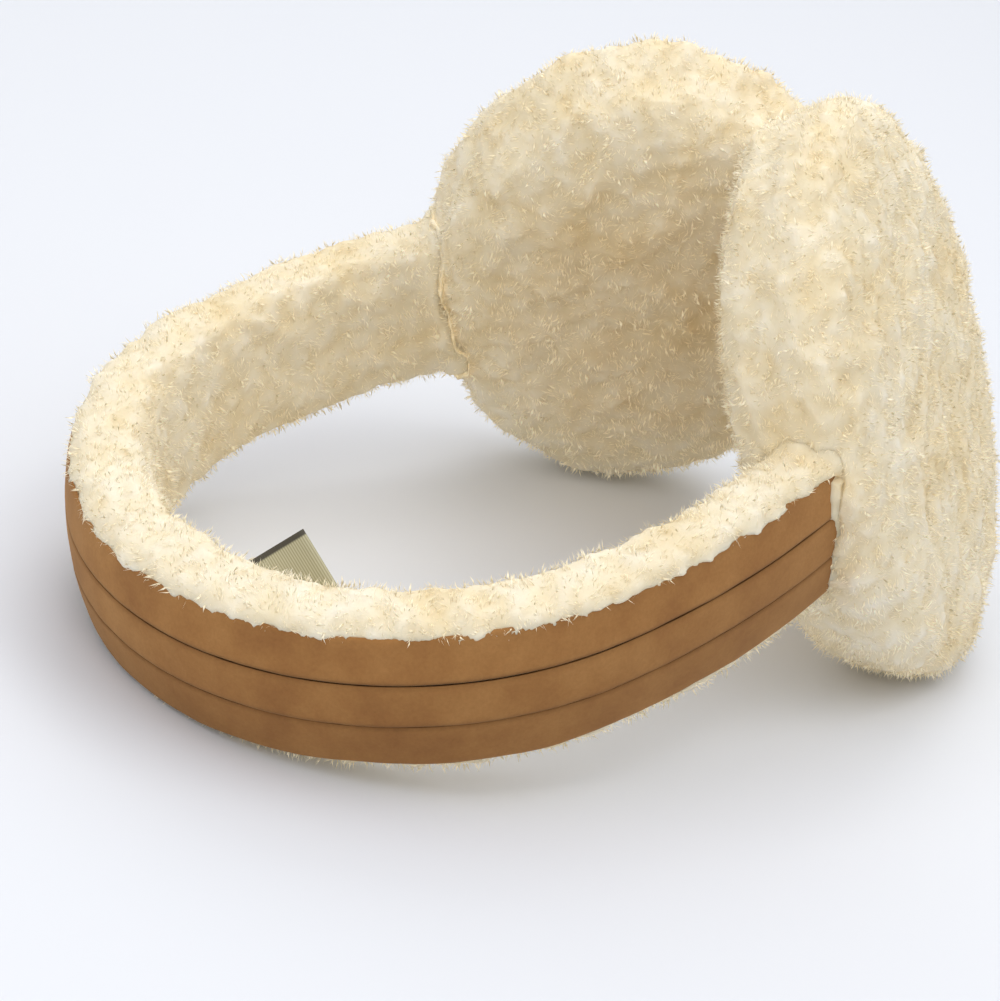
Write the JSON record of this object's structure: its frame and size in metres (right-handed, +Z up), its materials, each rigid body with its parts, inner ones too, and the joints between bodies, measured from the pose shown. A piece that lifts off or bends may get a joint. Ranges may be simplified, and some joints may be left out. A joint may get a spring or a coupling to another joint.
{
  "type": "pair of shearling earmuffs",
  "caption": "Earmuffs with a sprung suede headband lined in thick shearling, an oval shearling pad at each end and a blank woven label on the lining.",
  "frame": {"origin": "on the table below the middle of the whole, with the earmuffs lying on their side", "axes": "+X from the crown of the band to the free ends of the pads, +Y towards the far pad, +Z up from the table"},
  "size_m": [0.1692, 0.12, 0.0981],
  "materials": {
    "suede": "matte chestnut suede",
    "shearling": "dense curly ivory wool",
    "woven_tape": "satin woven tape"
  },
  "bodies": {
    "root": {"band_suede_upper": "suede", "band_suede_middle": "suede", "band_suede_lower": "suede", "band_shearling_lining": "shearling", "near_pad_inner_disc": "shearling", "near_pad_outer_disc": "shearling", "far_pad_inner_disc": "shearling", "far_pad_outer_disc": "shearling", "woven_label": "woven_tape"}
  },
  "joints": []
}
